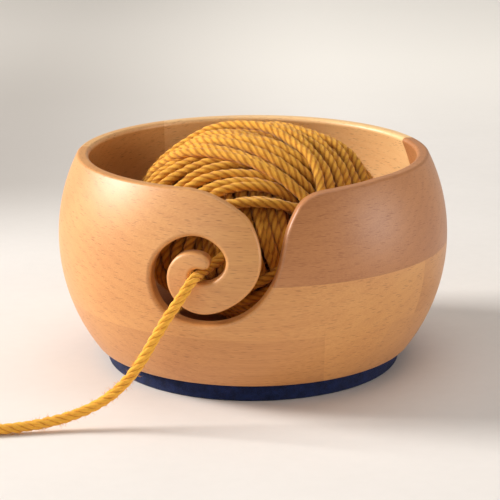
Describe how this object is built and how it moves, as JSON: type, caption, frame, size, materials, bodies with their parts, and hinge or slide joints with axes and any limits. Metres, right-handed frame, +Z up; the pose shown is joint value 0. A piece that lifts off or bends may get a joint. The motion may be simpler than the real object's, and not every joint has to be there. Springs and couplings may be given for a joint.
{
  "type": "yarn bowl",
  "caption": "Round wooden yarn bowl glued up from boards, with a spiral yarn slot in its wall, a felt pad underneath and a ball of yarn fed out through the slot.",
  "frame": {"origin": "on the table under the middle of the bowl", "axes": "+Z up along the bowl's turning axis, -Y toward the side with the spiral slot, +X to the right of it"},
  "size_m": [0.1987, 0.1761, 0.0922],
  "materials": {
    "beech_wood": "satin",
    "navy_felt": "matte",
    "adhesive": "matte",
    "mustard_yarn": "matte"
  },
  "bodies": {
    "bowl": {"base_front_left_board": "beech_wood", "base_front_right_board": "beech_wood", "base_middle_front_board": "beech_wood", "base_middle_back_board": "beech_wood", "base_back_board": "beech_wood", "wall_front_right_board": "beech_wood", "wall_right_board": "beech_wood", "wall_back_right_board": "beech_wood", "wall_back_board": "beech_wood", "wall_back_left_board": "beech_wood", "curl_left_block": "beech_wood", "rim_front_right_board": "beech_wood", "rim_back_board": "beech_wood", "rim_back_left_board": "beech_wood", "felt_base_pad": "navy_felt", "pad_adhesive_film": "adhesive", "yarn_strand": "mustard_yarn"},
    "yarn_ball": {"yarn_ball_core": "mustard_yarn", "yarn_inner_winding": "mustard_yarn", "yarn_outer_winding": "mustard_yarn"}
  },
  "joints": [
    {"name": "ball_turn", "type": "hinge", "parent": "bowl", "child": "yarn_ball", "pos_m": [0.0021, 0, 0.0538], "axis": [0, 0, 1], "continuous": true}
  ]
}
